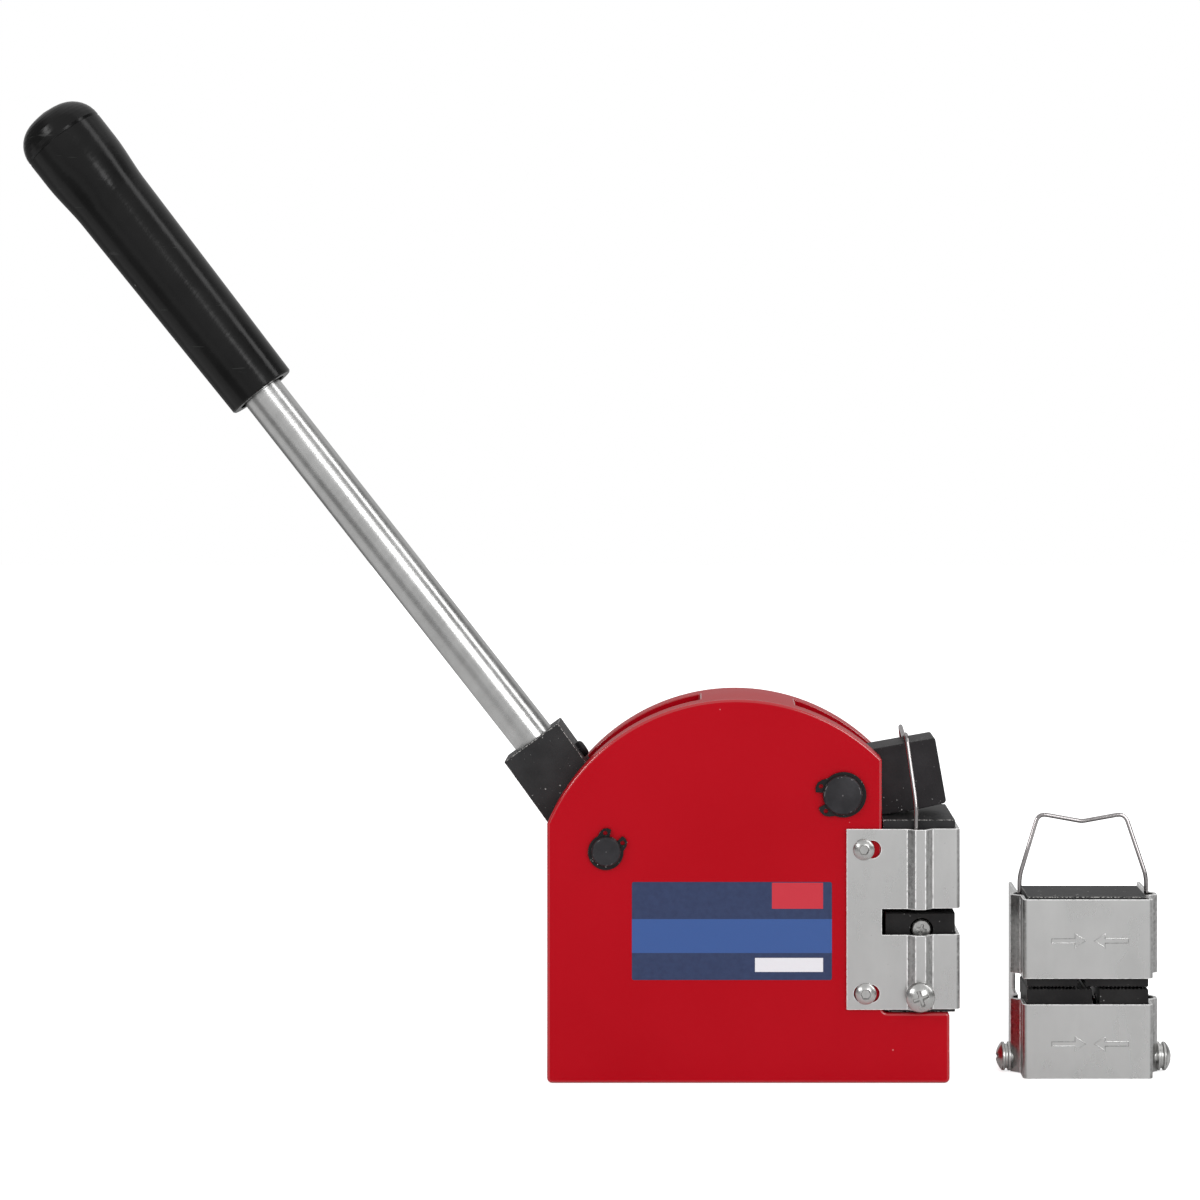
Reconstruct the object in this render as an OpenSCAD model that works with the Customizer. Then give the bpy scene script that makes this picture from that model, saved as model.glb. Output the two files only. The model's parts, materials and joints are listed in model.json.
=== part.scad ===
// Hand-lever shrinker stretcher for sheet metal, with a second jaw set.
// The cam on the lever's hub lifts the rocker's tail, the rocker's nose presses the jaw set
// shut, and the toothed jaws slide on the slopes of their blocks: apart in the set on the
// body, which stretches, and together in the spare set beside it, which shrinks.
// X runs from the lever at the back to the jaws at the front and Z is up.
// The origin is the middle of the body's foot. Sizes are in millimetres.

/* [Body] */
// Length of the foot
foot_l = 164; // [160:1:168]
// Thickness across the side faces
body_t = 53; // [52:0.5:56]
// Height of the front shelf that carries the jaw set
shelf_h = 28.7; // [27:0.1:29]
// Radius of the arched top
arch_r = 84; // [83:0.5:86]
// Width of the slot between the side walls
slot_w = 27; // [26:0.5:28]

/* [Lever] */
// Angle of the lever block above the floor at rest
block_lean = 54.2; // [53:0.1:55]
// Width of the lever block seen from the side
block_w = 27.3; // [26:0.1:27.5]
// Distance from the lever pin to the block's end
block_l = 52.9; // [50:0.1:55]
// Angle of the tube above the floor at rest
tube_lean = 51.9; // [51:0.1:55]
// Outer diameter of the tube
tube_d = 17.6; // [16:0.1:18]
// Length of bare tube between block and grip
bare_l = 183; // [150:1:200]
// Length of the grip
grip_l = 147.6; // [130:0.1:160]
// Diameter of the lever pin
lever_pin_d = 12; // [10:0.5:12]
// Turn of the lever over one stroke
lever_travel = 50; // [45:1:50]

/* [Rocker] */
// Diameter of the rocker pin
rocker_pin_d = 16; // [14:0.5:16]
// Thickness of the rocker and of the lever block
bar_t = 25; // [24:0.1:25.5]
// Upward tilt of the nose at rest
rocker_tilt = 10; // [9:0.1:10]
// Turn of the rocker over one stroke
rocker_travel = 12; // [10:0.1:12]

/* [Jaw set] */
// Height of the cage
cage_h = 73.5; // [73:0.1:75]
// Depth of the cage from its front plate to its back edge
cage_d = 46.3; // [45:0.1:48]
// Thickness of the cage's sheet
sheet_t = 1.5; // [1.2:0.1:1.5]
// Width across the front plate
plate_w = 53.4; // [53:0.1:53.8]
// Slope of the blocks under the jaws
slope = 25; // [22:0.5:26]
// Sideways travel of each jaw
jaw_travel = 1.3; // [1:0.1:1.3]
// Pitch of the jaws' teeth
tooth_pitch = 1.5; // [1.2:0.1:2]
// Diameter of the bail's wire
wire_d = 1.8; // [1.6:0.1:2]

/* [Spare set] */
// Distance from the body's middle to the spare set's middle
spare_x = 139.4; // [132:0.1:160]

/* [Hidden] */
$fn = 64;

// Body outline, seen from the side
back_x = -foot_l / 2;
shelf_x = foot_l / 2;
front_x = 54.4;
arch_x = -4.9;
arch_z = 72.3;
corner_r = 2;
shelf_r = 1.5;
fillet_r = 2.2;
bridge_x0 = -19.7;
bridge_x1 = 19.8;
bridge_z = 143;
cavity_back_x = -73;
cavity_z = 58;
cavity_front_x = 4;
mouth_x = 22;
mouth_z = 99;
far_out = 200;

// Tapped holes in the foot
foot_hole_r = 3.4;
foot_hole_l = 20;
foot_hole_x = 60;
foot_hole_y = 15;

// Pins and fits
lever_at = [-57.8, 94.6];
rocker_at = [38.3, 117.5];
pin_out = 3;
pin_edge = 0.6;
groove_d = 0.4;
running_gap = 0.05;
stop_gap = 0.15;
clip_t = 1.1;
clip_gap = 0.1;

// Lever
block_off = 0.7;
hub_r = block_w / 2 - block_off - 0.4;
cam_gap = 0.35;
cam_steps = 26;
cam_before = 0.15;
cam_after = 0.08;
tube_in_block = 30;
tube_wall = 2;
tube_in_grip = 128;
socket_gap = 0.05;
screw_at_l = 37.8;
screw_head_d = 6.8;
screw_head_h = 2.4;
screw_shank_d = 4;
screw_edge = 0.8;
screw_tip_gap = 1.2;
hex_r = 1.6;
hex_l = 1.4;

// Grip outline: distance from its lower end and radius there
grip_low_r = 14.6;
grip_neck = [99, 16.1];
grip_bulge = [122, 17.5];
grip_seam = 133;
grip_dome_r = 12;
grip_mouth_gap = 2.2;
grip_mouth_l = 4;

// Rocker
bar_top = 14.5;
bar_bottom = 12.7;
nose_l = 42;
nose_start = 12;
nose_bulge = 0.5;
nose_r = 1.5;
nose_chamfer = 0.5;
tail_l = 64;
pad_r = 8;
taper_l = 20;

// Return spring under the tail
spring_pin_at = [-46, -5];
spring_pin_r = 1.5;
hook_r = 2.8;
hook_wire_r = 0.5;
eye_r = 3.4;
eye_wire_r = 1.2;
eye_z = 70.6;
eye_in = 6;
eye_shank_r = 1.8;
coil_r = 3;
coil_turns = 14;

// Jaw set, in its own frame: x across the front plate, y back from it, z up from the cage's foot
set_x = 86.2;
set_z = 30.2;
spare_y = -18.5;
throat_z0 = 30.5;
throat_z1 = 41;
throat_l = 31.9;
channel_y0 = 11.1;
channel_y1 = 21.6;
channel_slope = 3.2;
channel_out = body_t / 2 + sheet_t + 2.5;
bend_r = 1.9;
block_w2 = 24.5;
block_chamfer = 2.6;
block_y0 = 1.8;
block_y1 = 31.3;
jaw_y0 = 1.9;
jaw_y1 = 30.2;
slide_gap = 0.15;
tooth_h = 0.6;
// Toothed face of the lower jaws, opening over it, top of the upper block, foot of the lower
// and height of the bail over the upper block
stretch_set = [38.9, 3.2, 76.85, shelf_h - set_z, 34.3];
shrink_set = [36.8, 0.35, 74.3, 0, 31.6];
stretch_thin = 11;
shrink_thin = 7;
lower_split = 3.3;
upper_split = -2.6;
closed_gap = 0.2;
open_gap = closed_gap + jaw_travel;
shrink_out = 24.9;
stretch_out = shrink_out - jaw_travel;

// Screws of the jaw set
cage_screw_y = [38.5, 39.3];
cage_screw_z = [6.6, 65.2];
slot_y = [38.1, 37.5];
slot_l = 10.5;
slot_h = 7.2;
button_r = 4.35;
button_h = 2.6;
button_shank_r = 2.5;
button_l = 11;
button_rim = 0.7;
button_hex = [2.1, 1.5];
clamp_y = 16.6;
clamp_z = 5.95;
pan_r = 5.85;
pan_h = 3.5;
pan_rim = 1.1;
clamp_r = 3;
clamp_in = 14;
washer_r = 5.9;
washer_t = 1;
split_washer_r = 5;
split_washer_t = 1.3;

// Tie screws and springs of the jaws
tie_y = 15.5;
tie_down = 7.1;
tie_head_r = 4;
tie_head_h = 2.6;
tie_sunk = 0.8;
tie_r = 2;
tie_end = 15;
pocket_r = 4.75;
pocket_l = 10;
tie_hole_r = 2.3;
tie_spring_r = 3.1;
tie_wire_r = 0.4;
push_down = 8;
push_pocket_r = 3.6;
push_pocket_l = 9;
push_spring_r = 2.6;
push_wire_r = 0.45;

// Bail
bail_y = 17.9;
bail_x = 26.3;
bail_in = 4.5;
bail_down = 8;
bail_straight = 6;
bail_top = [18, 21.5];
bail_dip = 3.2;
bail_bend = 3.5;
shoulder_bend = 3;
dip_bend = 1.5;

// Points on an arc about c from angle a0 to a1 in n steps
function arc(c, r, a0, a1, n) =
    [for (i = [0:n]) let (a = a0 + (a1 - a0) * i / n) [c[0] + r * cos(a), c[1] + r * sin(a)]];

// A side view drawn in X and Z, given thickness t about the middle
module slab(t) {
    rotate([90, 0, 0]) linear_extrude(t, center = true) children();
}

// A round bar along Y through the point at of the side view
module cross_bar(at, r, t) {
    translate([at[0], 0, at[1]]) rotate([90, 0, 0]) cylinder(r = r, h = t, center = true);
}

// Places children on both side faces, pointing outwards along their own Z
module both_sides(at, out) {
    for (side = [-1, 1])
        translate([at[0], side * out, at[1]]) rotate([-side * 90, 0, 0]) children();
}

// ---------- Body ----------

module body_outline() {
    intersection() {
        translate([arch_x, arch_z]) circle(r = arch_r, $fn = 180);
        translate([back_x, arch_z]) square([front_x - back_x, far_out]);
    }
    polygon(concat(
        arc([back_x + corner_r, corner_r], corner_r, 180, 270, 4),
        arc([shelf_x - corner_r, corner_r], corner_r, 270, 360, 4),
        arc([shelf_x - shelf_r, shelf_h - shelf_r], shelf_r, 0, 90, 4),
        arc([front_x + fillet_r, shelf_h + fillet_r], fillet_r, 270, 180, 4),
        [[front_x, arch_z], [back_x, arch_z]]));
}

// Room between the side walls for the lever's hub and the rocker, open at the slots
module body_cavity() {
    lean = [-cos(block_lean), sin(block_lean)];
    out = block_w / 2 + block_off + stop_gap;
    face = [lever_at[0] - lean[1] * out, lever_at[1] + lean[0] * out];
    stop_in = face[1] + (face[0] - cavity_back_x) * tan(block_lean);
    stop_out = face[1] + (face[0] - back_x + 1) * tan(block_lean);
    polygon([[cavity_back_x, cavity_z], [cavity_front_x, cavity_z], [mouth_x, mouth_z],
        [front_x + 1, mouth_z], [front_x + 1, far_out], [bridge_x1, far_out],
        [bridge_x1, bridge_z], [bridge_x0, bridge_z], [bridge_x0, far_out],
        [back_x - 1, far_out], [back_x - 1, stop_out], [cavity_back_x, stop_in]]);
}

module frame() {
    color("firebrick") difference() {
        slab(body_t) body_outline();
        slab(slot_w) body_cavity();
        cross_bar(lever_at, lever_pin_d / 2, body_t + 2);
        cross_bar(rocker_at, rocker_pin_d / 2, body_t + 2);
        for (x = [-foot_hole_x, foot_hole_x], y = [-foot_hole_y, foot_hole_y])
            translate([x, y, -1]) cylinder(r = foot_hole_r, h = foot_hole_l + 1);
        for (i = [0, 1])
            both_sides([set_x - cage_screw_y[i], set_z + cage_screw_z[i]], body_t / 2 - button_l)
                cylinder(r = button_shank_r, h = button_l + 1);
        translate([spring_x(), 0, cavity_z - eye_in]) cylinder(r = eye_shank_r, h = eye_in + 1);
    }
}

// ---------- Pins and retaining rings ----------

// A pin along Y with chamfered ends and a groove for a ring outside each side face
module pivot_pin(at, d) {
    half = body_t / 2 + pin_out;
    groove = body_t / 2 + clip_gap;
    floor_r = d / 2 - groove_d;
    translate([at[0], 0, at[1]]) rotate([90, 0, 0]) rotate_extrude()
        polygon([[0, -half], [d / 2 - pin_edge, -half], [d / 2, -half + pin_edge],
            [d / 2, -groove - clip_t], [floor_r, -groove - clip_t], [floor_r, -groove],
            [d / 2, -groove], [d / 2, groove], [floor_r, groove],
            [floor_r, groove + clip_t], [d / 2, groove + clip_t],
            [d / 2, half - pin_edge], [d / 2 - pin_edge, half], [0, half]]);
}

// A retaining ring: eccentric ring, open towards the angle gap, with two drilled ears.
// An ear's corners are given by their height over the pin and their angle from the gap.
module clip_shape(d, gap) {
    gap_turn = 20;
    ear = [[-1, 17], [3, 17], [3.4, 27], [3.3, 37], [2.3, 48], [0.8, 62], [-1, 58]];
    hole_turn = 33;
    hole_out = 1.45;
    hole_r = 0.9;
    ring_w = 1.25;
    ring_shift = 0.45;
    rotate(gap) difference() {
        union() {
            difference() {
                translate([-ring_shift, 0]) circle(r = d / 2 + ring_w);
                polygon([[0, 0], [2 * d * cos(gap_turn), 2 * d * sin(gap_turn)], [3 * d, 0],
                    [2 * d * cos(gap_turn), -2 * d * sin(gap_turn)]]);
            }
            for (side = [-1, 1])
                polygon([for (p = ear) (d / 2 + p[0]) * [cos(p[1]), side * sin(p[1])]]);
        }
        circle(r = d / 2 - groove_d + running_gap);
        for (side = [-1, 1]) rotate(side * hole_turn)
            translate([d / 2 + hole_out, 0]) circle(r = hole_r, $fn = 24);
    }
}

module clips(at, d, gap) {
    groove = body_t / 2 + clip_gap;
    color("#2a2a2c") for (side = [-1, 1])
        translate([at[0], side * (groove + clip_t / 2), at[1]])
            slab(clip_t) clip_shape(d, gap);
}

module lever_pin() {
    color("#303032") pivot_pin(lever_at, lever_pin_d);
}

module lever_circlips() {
    clips(lever_at, lever_pin_d, 60);
}

module rocker_pin() {
    color("#303032") pivot_pin(rocker_at, rocker_pin_d);
}

module rocker_circlips() {
    clips(rocker_at, rocker_pin_d, 191);
}

// ---------- Lever ----------

// Middle of the tail's pad after the fraction f of a stroke, seen from the rocker pin
function pad_at(f) = let (a = 180 + rocker_tilt - rocker_travel * f)
    [tail_l * cos(a), tail_l * sin(a)];

// The cam's edge that meets the pad at f, seen from the lever pin with the lever at rest
function cam_point(f) = let (
        x = pad_at(f)[0] + rocker_at[0] - lever_at[0],
        z = pad_at(f)[1] + rocker_at[1] - lever_at[1],
        a = atan2(z, x) + lever_travel * f,
        r = sqrt(x * x + z * z) - pad_r - cam_gap)
    [r * cos(a), r * sin(a)];

module cam_shape() {
    polygon(concat([[0, 0]], [for (i = [0:cam_steps])
        cam_point(-cam_before + (1 + cam_before + cam_after) * i / cam_steps)]));
}

// Frame at the block's end face, its Z along the tube
module at_tube() {
    translate([lever_at[0] - block_l * cos(block_lean), 0, lever_at[1] + block_l * sin(block_lean)])
        rotate([0, tube_lean - 90, 0]) children();
}

// Frame at the lever pin, its Z along the middle of the block
module at_block() {
    translate([lever_at[0], 0, lever_at[1]]) rotate([0, block_lean - 90, 0])
        translate([-block_off, 0, 0]) children();
}

module lever_block() {
    color("#26272a") difference() {
        translate([lever_at[0], 0, lever_at[1]]) slab(bar_t) {
            cam_shape();
            circle(r = hub_r);
            rotate(180 - block_lean) translate([0, block_off - block_w / 2])
                square([block_l, block_w]);
        }
        cross_bar(lever_at, lever_pin_d / 2 + running_gap, bar_t + 2);
        at_tube() translate([0, 0, -tube_in_block])
            cylinder(r = tube_d / 2 + socket_gap, h = tube_in_block + 5);
        at_block() translate([0, 0, screw_at_l]) rotate([0, 90, 0])
            cylinder(r = screw_shank_d / 2, h = block_w);
    }
}

module handle_screw() {
    tip = tube_d / 2 + block_off + screw_tip_gap;
    color("#1c1c1e") at_block() translate([0, 0, screw_at_l]) rotate([0, 90, 0]) difference() {
        union() {
            translate([0, 0, block_w / 2])
                cylinder(r = screw_head_d / 2, h = screw_head_h - screw_edge);
            translate([0, 0, block_w / 2 + screw_head_h - screw_edge])
                cylinder(r1 = screw_head_d / 2, r2 = screw_head_d / 2 - screw_edge, h = screw_edge);
            translate([0, 0, tip]) cylinder(r = screw_shank_d / 2, h = block_w / 2 - tip);
        }
        translate([0, 0, block_w / 2 + screw_head_h - hex_l])
            cylinder(r = hex_r, h = hex_l + 1, $fn = 6);
    }
}

module handle_tube() {
    color("silver") at_tube() translate([0, 0, -tube_in_block]) difference() {
        length = tube_in_block + bare_l + tube_in_grip;
        cylinder(r = tube_d / 2, h = length);
        translate([0, 0, -1]) cylinder(r = tube_d / 2 - tube_wall, h = length + 2);
    }
}

module handle_grip() {
    bore_r = tube_d / 2 + socket_gap;
    mouth_r = tube_d / 2 + grip_mouth_gap;
    crown = 1.6;
    dome = arc([grip_bulge[1] - grip_dome_r, grip_l - crown - grip_dome_r], grip_dome_r, 0, 78, 9);
    color("#17181a") at_tube() translate([0, 0, bare_l]) rotate_extrude()
        polygon(concat(
            [[mouth_r, 0], [grip_low_r - 0.5, 0], [grip_low_r, 0.6],
                [grip_neck[1], grip_neck[0]]],
            [for (i = [1:9]) let (t = i / 10, s = t * t * (3 - 2 * t))
                [grip_neck[1] + (grip_bulge[1] - grip_neck[1]) * s,
                    grip_neck[0] + (grip_bulge[0] - grip_neck[0]) * t]],
            [[grip_bulge[1], grip_bulge[0]], [grip_bulge[1], grip_seam - 0.3],
                [grip_bulge[1] - 0.3, grip_seam]],
            dome,
            [[0, grip_l], [0, tube_in_grip], [bore_r, tube_in_grip], [bore_r, grip_mouth_l],
                [mouth_r, grip_mouth_l]]));
}

// ---------- Rocker ----------

module rocker_shape() {
    difference() {
        union() {
            polygon(concat(
                [[-taper_l, bar_top], [-tail_l, pad_r], [-tail_l, -pad_r], [-taper_l, -bar_bottom]],
                [for (i = [0:6]) let (t = i / 6)
                    [nose_start + (nose_l - nose_r - nose_start) * t,
                        -bar_bottom - nose_bulge * 4 * t * (1 - t)]],
                arc([nose_l - nose_r, nose_r - bar_bottom], nose_r, 270, 360, 5),
                [[nose_l, bar_top - nose_chamfer], [nose_l - nose_chamfer, bar_top]]));
            translate([-tail_l, 0]) circle(r = pad_r);
        }
        circle(r = rocker_pin_d / 2 + running_gap);
    }
}

// Frame of the rocker at rest: its own X runs from the pin to the nose
module at_rocker() {
    translate([rocker_at[0], 0, rocker_at[1]]) rotate([0, -rocker_tilt, 0]) children();
}

module rocker_arm() {
    notch_w = 8;
    color("#26272a") at_rocker() difference() {
        slab(bar_t) rocker_shape();
        translate([spring_pin_at[0] - 6, -notch_w / 2, -bar_top])
            cube([12, notch_w, bar_top - 0.5]);
        cross_bar(spring_pin_at, spring_pin_r, bar_t + 2);
    }
}

module spring_pin() {
    color("gray") at_rocker() cross_bar(spring_pin_at, spring_pin_r, bar_t - 1);
}

// Where the return spring hangs, above its eye in the body's floor
function spring_x() = rocker_at[0] + spring_pin_at[0] * cos(rocker_tilt)
    - spring_pin_at[1] * sin(rocker_tilt);
function spring_z() = rocker_at[1] + spring_pin_at[0] * sin(rocker_tilt)
    + spring_pin_at[1] * cos(rocker_tilt);

module ring(r, wire_r) {
    rotate_extrude($fn = 32) translate([r, 0]) circle(r = wire_r, $fn = 16);
}

module spring_eye() {
    color("gray") translate([spring_x(), 0, 0]) {
        translate([0, 0, eye_z]) rotate([0, 90, 0]) ring(eye_r, eye_wire_r);
        translate([0, 0, cavity_z - eye_in])
            cylinder(r = eye_shank_r, h = eye_z - eye_r - cavity_z + eye_in);
    }
}

function unit(v) = v / norm(v);

// Direction of a path at its point i
function heading(path, i) = unit(path[min(i + 1, len(path) - 1)] - path[max(i - 1, 0)]);

// Part of v that is square to the path at its point i
function squared(v, path, i) = unit(v - (v * heading(path, i)) * heading(path, i));

// A round wire along a path, one unbroken skin. first is any vector off the path's start,
// and it is carried along the path without twist.
module wire(path, r, first, sides = 6) {
    last = len(path) - 1;
    across = [for (i = 0, v = squared(first, path, 0); i <= last;
        i = i + 1, v = i <= last ? squared(v, path, i) : v) v];
    skin = [for (i = [0:last], k = [0:sides - 1]) let (b = 360 * k / sides)
        path[i] + r * (across[i] * cos(b) + cross(heading(path, i), across[i]) * sin(b))];
    walls = [for (i = [0:last - 1], k = [0:sides - 1], half = [0, 1]) let (
            p = i * sides + k,
            n = i * sides + (k + 1) % sides)
        half == 0 ? [p, p + sides, n] : [n, p + sides, n + sides]];
    polyhedron(skin, concat(walls, [[for (k = [0:sides - 1]) k]],
        [[for (k = [sides - 1:-1:0]) last * sides + k]]));
}

// Turns of radius r about Z from z0 to z1
function winding(r, z0, z1, turns, rings = 10) = [for (i = [0:turns * rings])
    let (a = 360 * i / rings) [r * cos(a), r * sin(a), z0 + (z1 - z0) * i / (turns * rings)]];

// An open loop in X and Z about the height z, from angle a0 to a1
function hook(z, a0, a1) =
    [for (p = arc([0, z], hook_r, a0, a1, 12)) [p[0], 0, p[1]]];

module return_spring() {
    low = eye_z + eye_r - eye_wire_r - hook_wire_r * 1.8 + hook_r;
    high = spring_z() + spring_pin_r - hook_r + hook_wire_r + 0.1;
    rise = hook_r + 0.6;
    color("silver") translate([spring_x(), 0, 0])
        wire(concat(hook(low, 120, 420),
            winding(coil_r, low + rise, high - rise, coil_turns),
            hook(high, -60, 240)), hook_wire_r, [0, 1, 0]);
}

// ---------- Jaw set ----------

// The set on the body: front plate towards +X
module on_body() {
    translate([set_x, 0, set_z]) rotate([0, 0, 90]) children();
}

// The spare set on the floor: front plate towards -Y
module on_floor() {
    translate([spare_x, spare_y, 0]) children();
}

// A shape in x and z of the set, from y0 back to y1
module across(y0, y1) {
    translate([0, y1, 0]) rotate([90, 0, 0]) linear_extrude(y1 - y0) children();
}

// Half of the sheet's run seen from above, k sheets in from its outer face
function cage_run(k) = let (
        s = sheet_t * k,
        side = plate_w / 2 - s,
        out = channel_out - s,
        back = body_t / 2 + sheet_t - s,
        y0 = channel_y0 + s * tan(atan2(channel_out - plate_w / 2, channel_slope) / 2),
        y1 = channel_y1 - s * tan(atan2(channel_out - body_t / 2 - sheet_t, channel_slope) / 2),
        bend = bend_r - s)
    concat(
        arc([side - bend, s + bend], bend, 270, 360, 5),
        [[side, y0], [out, y0 + channel_slope], [out, y1 - channel_slope], [back, y1],
            [back, cage_d]]);

function reversed(list) = [for (i = [len(list) - 1:-1:0]) list[i]];
function flipped(list) = [for (p = reversed(list)) [-p[0], p[1]]];

module cage_plan() {
    polygon(concat(cage_run(0), reversed(cage_run(1)), flipped(reversed(cage_run(1))),
        flipped(cage_run(0))));
}

// A hole with round ends through both side plates, level along y
module plate_slot(y, z, length, height) {
    translate([0, y, z]) for (side = [-1, 1])
        translate([0, side * (length - height) / 2, 0]) rotate([0, 90, 0])
            cylinder(r = height / 2, h = 4 * channel_out, center = true);
    cube_l = length - height;
    translate([-2 * channel_out, y - cube_l / 2, z - height / 2])
        cube([4 * channel_out, cube_l, height]);
}

module cage_body(set) {
    difference() {
        linear_extrude(cage_h) cage_plan();
        translate([-2 * plate_w, -1, throat_z0])
            cube([4 * plate_w, throat_l + 1, throat_z1 - throat_z0]);
        for (i = [0, 1]) plate_slot(slot_y[i], cage_screw_z[i], slot_l, slot_h);
        translate([0, clamp_y, clamp_z]) rotate([0, 90, 0])
            cylinder(r = clamp_r + 0.3, h = 4 * channel_out, center = true);
    }
}

// Depth of the slope below the toothed face at x: thick outside to stretch, inside to shrink
function drop(x, split, stretch) = stretch
    ? stretch_thin + abs(x - split) * tan(slope)
    : shrink_thin + (block_w2 + abs(split) - abs(x - split)) * tan(slope);

// A jaw between x0 and x1, toothed face up at z = 0
module jaw_shape(x0, x1, split, stretch) {
    teeth = round((x1 - x0) / tooth_pitch);
    pitch = (x1 - x0) / teeth;
    polygon(concat(
        [[x1, -drop(x1, split, stretch)], [x0, -drop(x0, split, stretch)]],
        [for (i = [0:teeth - 1], half = [0, 1])
            [x0 + (i + half / 2) * pitch, half == 0 ? -tooth_h : 0]],
        [[x1, -tooth_h]]));
}

// side -1 is the left jaw and 1 the right, seen from the front plate
module jaw(side, split, stretch) {
    outer = side * (stretch ? stretch_out : shrink_out);
    inner = split + side * (stretch ? closed_gap : open_gap);
    across(jaw_y0, jaw_y1)
        jaw_shape(min(outer, inner), max(outer, inner), split, stretch);
}

// A bore along x from x0 to x1, the given depth under the toothed face
module jaw_bore(x0, x1, r, down) {
    translate([x0, tie_y, -down]) rotate([0, 90, 0]) cylinder(r = r, h = x1 - x0);
}

module stretch_jaw(side, split) {
    color("#1f2022") difference() {
        jaw(side, split, true);
        if (side < 0) {
            jaw_bore(-stretch_out - 1, -stretch_out + pocket_l, pocket_r, tie_down);
            jaw_bore(-stretch_out, split + 1, tie_hole_r, tie_down);
        } else {
            jaw_bore(split - 1, tie_end + 0.3, tie_r, tie_down);
        }
    }
}

module shrink_jaw(side, split) {
    edge = split + side * open_gap;
    deep = edge + side * push_pocket_l;
    color("#1f2022") difference() {
        jaw(side, split, false);
        jaw_bore(min(edge - side, deep), max(edge - side, deep), push_pocket_r, push_down);
    }
}

// A block's sloped side up, under jaws whose toothed face is at z = 0
module block_shape(base, split, stretch) {
    polygon([[-block_w2, -base], [block_w2, -base],
        [block_w2, -drop(block_w2, split, stretch) - slide_gap],
        [split, -drop(split, split, stretch) - slide_gap],
        [-block_w2, -drop(-block_w2, split, stretch) - slide_gap]]);
}

// Lower jaws and blocks stand at their toothed face, upper ones hang from theirs
module lower(set) {
    translate([0, 0, set[0]]) children();
}

module upper(set) {
    translate([0, 0, set[0] + set[1]]) mirror([0, 0, 1]) children();
}

module lower_block_body(set, stretch) {
    color("#26272a") difference() {
        lower(set) across(block_y0, block_y1)
            block_shape(set[0] - set[3], lower_split, stretch);
        for (side = [-1, 1]) translate([side * (clamp_in - 0.5), clamp_y, clamp_z])
            rotate([0, side * 90, 0]) cylinder(r = clamp_r, h = block_w2);
        translate([0, block_y1, set[3]]) rotate([45, 0, 0])
            cube([2 * block_w2 + 2, block_chamfer * sqrt(2), block_chamfer * sqrt(2)],
                center = true);
    }
}

module upper_block_body(set, stretch) {
    color("#26272a") difference() {
        upper(set) across(block_y0, block_y1)
            block_shape(set[2] - set[0] - set[1], upper_split, stretch);
        for (side = [-1, 1]) translate([side * (block_w2 - bail_in - 0.3), bail_y, set[2] - bail_down])
            rotate([0, side * 90, 0]) cylinder(r = wire_d / 2, h = block_w2);
    }
}

// A bend at corner b on the way from a to c, begun the distance d before it. part is the
// share of the bend that is drawn.
function bent(a, b, c, d, part = 1) = let (p = b + unit(a - b) * d, q = b + unit(c - b) * d)
    [for (i = [0:5]) let (t = i / 5 * part)
        p * (1 - t) * (1 - t) + b * 2 * t * (1 - t) + q * t * t];

// Points of the right half of the bail, from the block's side up to the dip, for a block
// with its top at z and a bail that rises above it by up
function bail_half(z, up) = let (
        foot = [bail_x, bail_y, z + bail_straight],
        corner = [bail_top[0], bail_top[1], z + up],
        dip = [0, bail_top[1] - 0.3, z + up - bail_dip],
        heel = [bail_x, bail_y, z - bail_down])
    concat(
        [[block_w2 - bail_in, bail_y, z - bail_down]],
        bent([block_w2, bail_y, z - bail_down], heel, foot, 1.2),
        bent(heel, foot, corner, shoulder_bend),
        bent(foot, corner, dip, bail_bend),
        bent(corner, dip, [-corner[0], corner[1], corner[2]], dip_bend, 0.5));

module bail_body(set) {
    half = bail_half(set[2], set[4]);
    left = [for (p = reversed(half)) [-p[0], p[1], p[2]]];
    color("silver") wire(concat(half, [for (i = [1:len(left) - 1]) left[i]]), wire_d / 2,
        [0, 1, 0], 16);
}

// A domed screw head on z = 0 with the radius r, height h and a straight rim
module domed_head(r, h, rim) {
    ball_r = (r * r + (h - rim) * (h - rim)) / (2 * (h - rim));
    cylinder(r = r, h = rim);
    intersection() {
        translate([0, 0, h - ball_r]) sphere(r = ball_r, $fn = 96);
        translate([0, 0, rim]) cylinder(r = r, h = h);
    }
}

module cage_screw_group() {
    for (i = [0, 1])
        both_sides([set_x - cage_screw_y[i], set_z + cage_screw_z[i]], body_t / 2 + sheet_t)
        difference() {
            union() {
                domed_head(button_r, button_h, button_rim);
                translate([0, 0, -sheet_t - button_l])
                    cylinder(r = button_shank_r, h = sheet_t + button_l);
            }
            translate([0, 0, button_h - button_hex[1]])
                cylinder(r = button_hex[0], h = button_hex[1] + 1, $fn = 6);
        }
}

// Both ends of the clamp screws' axis, pointing outwards from the channel's face
module clamp_ends(set) {
    for (side = [-1, 1]) translate([side * channel_out, clamp_y, clamp_z])
        rotate([0, side * 90, 0]) children();
}

module clamp_screw_group(set) {
    head_z = washer_t + split_washer_t;
    cross_l = 6.4;
    cross_w = 1.3;
    color("silver") clamp_ends(set) difference() {
        union() {
            translate([0, 0, head_z]) domed_head(pan_r, pan_h, pan_rim);
            translate([0, 0, clamp_in - channel_out])
                cylinder(r = clamp_r, h = channel_out - clamp_in + head_z);
        }
        for (turn = [20, 110]) rotate(turn) translate([-cross_l / 2, -cross_w / 2, head_z + 1.6])
            cube([cross_l, cross_w, pan_h]);
    }
}

module clamp_washer_group(set) {
    color("silver") clamp_ends(set) difference() {
        cylinder(r = washer_r, h = washer_t);
        translate([0, 0, -1]) cylinder(r = clamp_r + 0.2, h = washer_t + 2);
    }
}

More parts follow.
